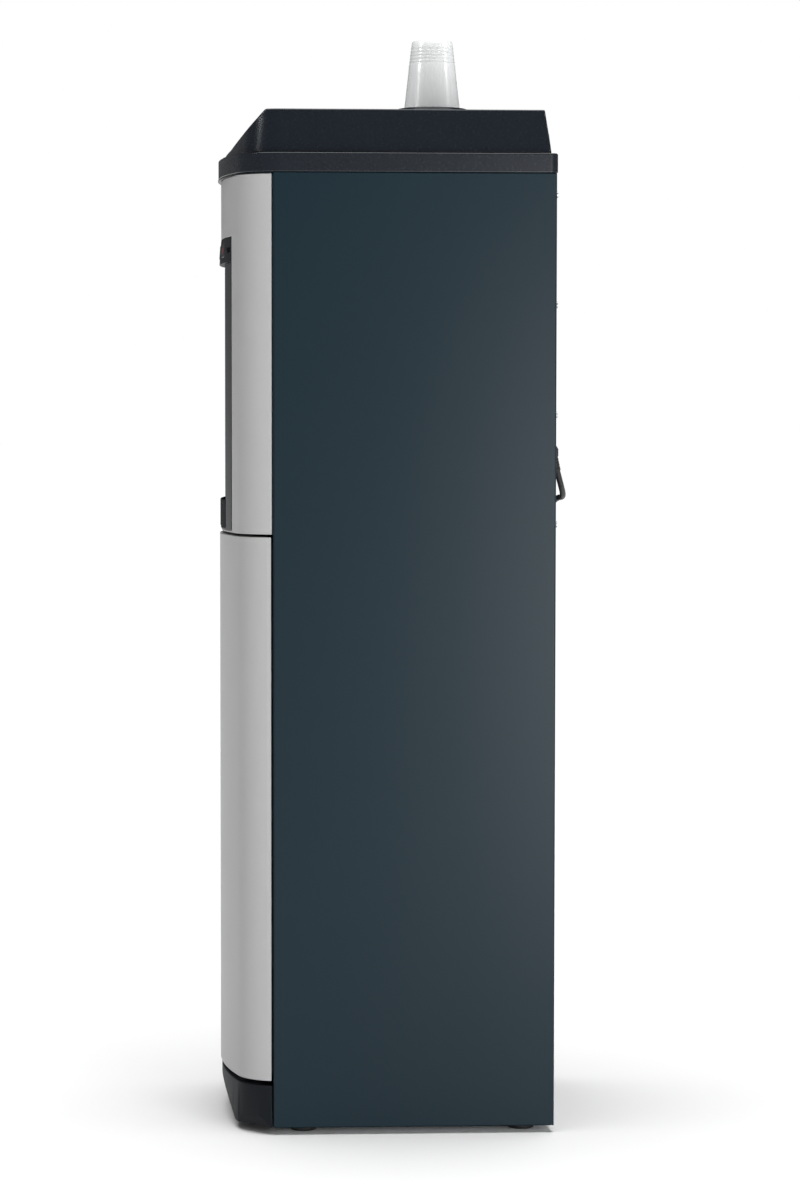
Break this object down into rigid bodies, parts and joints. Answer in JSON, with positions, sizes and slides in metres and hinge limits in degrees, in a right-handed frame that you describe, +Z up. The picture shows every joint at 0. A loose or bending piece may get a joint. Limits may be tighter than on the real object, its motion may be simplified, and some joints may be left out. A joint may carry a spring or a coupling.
{
  "type": "bottom load water cooler",
  "caption": "Tall floor-standing water cooler with a bottle compartment behind a bowed lower door, a dispensing alcove with push buttons, and a stack of paper-thin cups on top.",
  "frame": {"origin": "centre of the cabinet's footprint on the floor", "axes": "+Z up, front and dispensing alcove towards -Y, hinge side of the door towards -X"},
  "size_m": [0.4355, 0.3803, 1.1755],
  "materials": {
    "black_paint": "black semi-gloss",
    "blue_button": "blue",
    "board": "green circuit board",
    "copper": "copper tube",
    "cord": "black cable jacket",
    "cover_plastic": "near-black gloss",
    "cup": "clear thin plastic",
    "dark_plastic": "dark grey",
    "foam": "pale foam",
    "front_silver": "silver satin",
    "green_rocker": "green",
    "grey_button": "grey",
    "hose": "milky food-grade hose",
    "kick_plastic": "dark grey",
    "liner_plastic": "grey",
    "magnet": "bonded ferrite",
    "red_button": "red",
    "red_rocker": "red",
    "rubber": "black",
    "side_paint": "dark blue-grey satin",
    "steel": "stainless",
    "tray_plastic": "dark grey",
    "trim_plastic": "dark grey gloss",
    "white_plastic": "white",
    "zinc": "zinc coated"
  },
  "bodies": {
    "cabinet": {"base_pan": "zinc", "feet": "rubber", "floor_tray": "liner_plastic", "kick_plate": "kick_plastic", "left_side_panel": "side_paint", "right_side_panel": "side_paint", "rear_screws": "steel", "mid_shelf": "zinc", "lower_rear_panel": "zinc", "upper_rear_panel": "side_paint", "front_panel": "front_silver", "dispensing_alcove": "dark_plastic", "control_fascia": "trim_plastic", "control_board": "board", "nozzles": "tray_plastic", "hinge_brackets": "black_paint", "cover_trim": "trim_plastic", "top_cover": "cover_plastic", "cup_well": "trim_plastic", "tank_shelf": "zinc", "cold_tank": "steel", "tank_insulation": "foam", "evaporator_coil": "copper", "hot_tank": "steel", "hot_tank_jacket": "foam", "water_pump": "white_plastic", "water_lines": "hose", "drain_fitting": "white_plastic", "compressor": "black_paint", "compressor_grommets": "rubber", "condenser_tube": "black_paint", "condenser_wires": "black_paint", "condenser_brackets": "dark_plastic", "filter_drier": "copper", "refrigerant_lines": "copper", "probe_holder": "zinc", "switch_bezels": "dark_plastic", "cord_gland": "dark_plastic", "strain_relief": "cord", "power_cord": "cord", "cord_coil": "cord", "power_plug": "cord"},
    "door": {"door_skin": "front_silver", "door_end_caps": "dark_plastic", "door_liner": "liner_plastic", "door_gasket": "rubber", "door_magnets": "magnet"},
    "cold_button": {"cold_button": "blue_button"},
    "room_button": {"room_button": "grey_button"},
    "hot_button": {"hot_button": "red_button"},
    "child_lock": {"child_lock": "red_button"},
    "drip_tray": {"drip_tray": "tray_plastic"},
    "drip_grille": {"drip_grille": "tray_plastic"},
    "hot_switch": {"hot_switch": "red_rocker"},
    "cold_switch": {"cold_switch": "green_rocker"},
    "drain_cap": {"drain_cap": "white_plastic"},
    "bottle_probe": {"bottle_probe": "white_plastic", "probe_hose": "hose"},
    "cup_stack": {"cup_stack": "cup"},
    "top_cup": {"top_cup": "cup"}
  },
  "joints": [
    {"name": "door_hinge", "type": "hinge", "parent": "cabinet", "child": "door", "pos_m": [-0.147, -0.1315, 0.3484], "axis": [0, 0, -1], "range_deg": [0, 110]},
    {"name": "cold_button_press", "type": "slide", "parent": "cabinet", "child": "cold_button", "axis": [0, 1, 0], "range_m": [0, 0.003], "stiffness_N_per_m": 400, "springref_m": -0.001},
    {"name": "room_button_press", "type": "slide", "parent": "cabinet", "child": "room_button", "axis": [0, 1, 0], "range_m": [0, 0.003], "stiffness_N_per_m": 400, "springref_m": -0.001},
    {"name": "hot_button_press", "type": "slide", "parent": "cabinet", "child": "hot_button", "axis": [0, 1, 0], "range_m": [0, 0.003], "stiffness_N_per_m": 400, "springref_m": -0.001},
    {"name": "child_lock_slide", "type": "slide", "parent": "cabinet", "child": "child_lock", "axis": [1, 0, 0], "range_m": [0, 0.006]},
    {"name": "drip_tray_slide", "type": "slide", "parent": "cabinet", "child": "drip_tray", "axis": [0, -1, 0], "range_m": [0, 0.12]},
    {"name": "drip_grille_lift", "type": "slide", "parent": "drip_tray", "child": "drip_grille", "axis": [0, 0, 1], "range_m": [0, 0.06]},
    {"name": "hot_switch_rock", "type": "hinge", "parent": "cabinet", "child": "hot_switch", "pos_m": [-0.112, 0.174, 0.735], "axis": [1, 0, 0], "range_deg": [-9, 9]},
    {"name": "cold_switch_rock", "type": "hinge", "parent": "cabinet", "child": "cold_switch", "pos_m": [-0.078, 0.174, 0.735], "axis": [1, 0, 0], "range_deg": [-9, 9]},
    {"name": "drain_cap_unscrew", "type": "slide", "parent": "cabinet", "child": "drain_cap", "axis": [0, 1, 0], "range_m": [0, 0.012]},
    {"name": "bottle_probe_lift", "type": "slide", "parent": "cabinet", "child": "bottle_probe", "axis": [0, 0, 1], "range_m": [0, 0.02], "deforming": ["probe_hose"]},
    {"name": "cup_stack_lift", "type": "slide", "parent": "cabinet", "child": "cup_stack", "axis": [0, 0, 1], "range_m": [0, 0.13]},
    {"name": "top_cup_lift", "type": "slide", "parent": "cup_stack", "child": "top_cup", "axis": [0, 0, 1], "range_m": [0, 0.11]}
  ]
}
